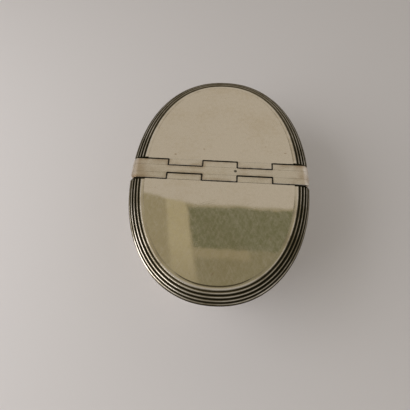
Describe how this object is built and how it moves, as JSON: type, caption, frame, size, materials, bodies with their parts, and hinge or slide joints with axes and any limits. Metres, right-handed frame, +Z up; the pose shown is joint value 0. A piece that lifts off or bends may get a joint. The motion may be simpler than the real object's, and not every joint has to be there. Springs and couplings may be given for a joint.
{
  "type": "spice box",
  "caption": "Oval silver spice box with a flat half-oval lid hinged on each side of a central bar, a reeded border round the lids and a partition inside.",
  "frame": {"origin": "middle of the underside, on the surface that the box stands on", "axes": "+X along the hinge bar, +Y along the box towards the rear lid, +Z up"},
  "size_m": [0.058, 0.085, 0.028],
  "materials": {
    "silver": "old polished silver with fine scratches and dark grooves",
    "worn_silver": "duller silver of the inside and the base",
    "pin_wire": "drawn wire"
  },
  "bodies": {
    "box": {"base_plate": "worn_silver", "foot_moulding": "silver", "body_wall": "silver", "rim_flange": "silver", "partition": "worn_silver", "hinge_bar": "silver", "front_bar_knuckle_left": "silver", "front_bar_knuckle_middle": "silver", "front_bar_knuckle_right": "silver", "rear_bar_knuckle_left": "silver", "rear_bar_knuckle_middle": "silver", "rear_bar_knuckle_right": "silver", "front_hinge_pin": "pin_wire", "rear_hinge_pin": "pin_wire"},
    "front_lid": {"front_lid_plate": "silver", "front_lid_border": "silver", "front_lid_bezel": "worn_silver", "front_lid_knuckle_left": "silver", "front_lid_knuckle_right": "silver"},
    "rear_lid": {"rear_lid_plate": "silver", "rear_lid_border": "silver", "rear_lid_bezel": "worn_silver", "rear_lid_knuckle_left": "silver", "rear_lid_knuckle_right": "silver"}
  },
  "joints": [
    {"name": "front_lid_hinge", "type": "hinge", "parent": "box", "child": "front_lid", "pos_m": [0, -0.0027, 0.02725], "axis": [-1, 0, 0], "range_deg": [0, 90]},
    {"name": "rear_lid_hinge", "type": "hinge", "parent": "box", "child": "rear_lid", "pos_m": [0, 0.0027, 0.02725], "axis": [1, 0, 0], "range_deg": [0, 90]}
  ]
}
